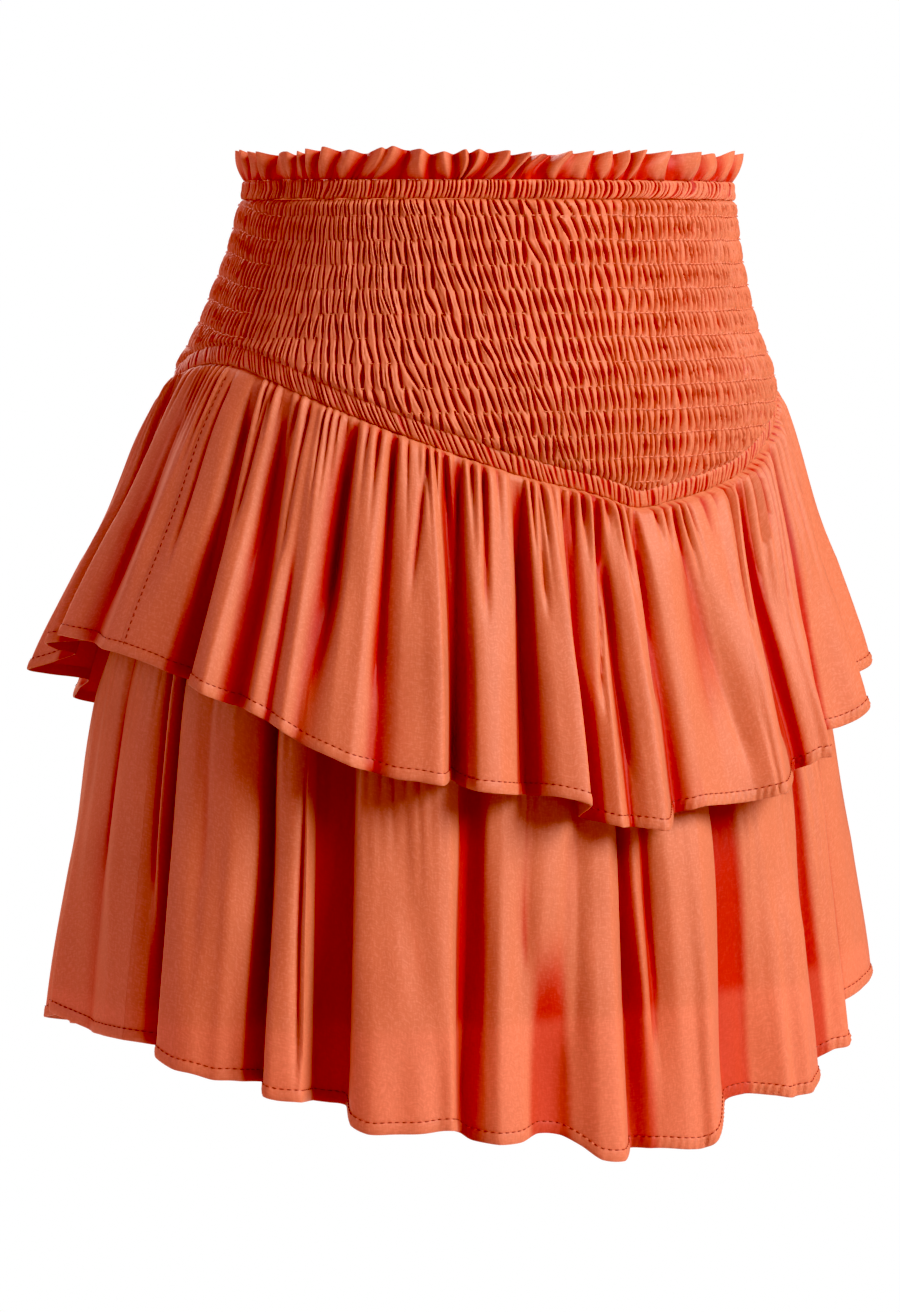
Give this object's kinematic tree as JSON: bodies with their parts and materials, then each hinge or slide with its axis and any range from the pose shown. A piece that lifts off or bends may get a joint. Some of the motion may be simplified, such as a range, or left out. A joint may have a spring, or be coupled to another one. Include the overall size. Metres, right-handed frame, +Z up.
{
  "type": "tiered ruffle skirt",
  "caption": "Short gathered skirt with a frilled elastic waist, a smocked V yoke, two flared ruffle tiers and a lining, filled out as worn",
  "frame": {"origin": "middle of the elastic waist casing, where the wearer holds the skirt", "axes": "+Z up, -Y towards the centre front, +X towards the wearer's left side"},
  "size_m": [0.398, 0.3377, 0.421],
  "materials": {
    "skirt_cloth": "soft crinkled viscose, slight sheen",
    "lining_cloth": "plain matte"
  },
  "bodies": {
    "root": {"frill_front": "skirt_cloth", "frill_back": "skirt_cloth", "waist_casing_front": "skirt_cloth", "waist_casing_back": "skirt_cloth", "yoke_front": "skirt_cloth", "yoke_back": "skirt_cloth", "yoke_band_front": "skirt_cloth", "yoke_band_back": "skirt_cloth", "upper_tier_front": "skirt_cloth", "upper_tier_back": "skirt_cloth", "lower_tier_front": "skirt_cloth", "lower_tier_back": "skirt_cloth", "lining_front": "lining_cloth", "lining_back": "lining_cloth"}
  },
  "joints": []
}
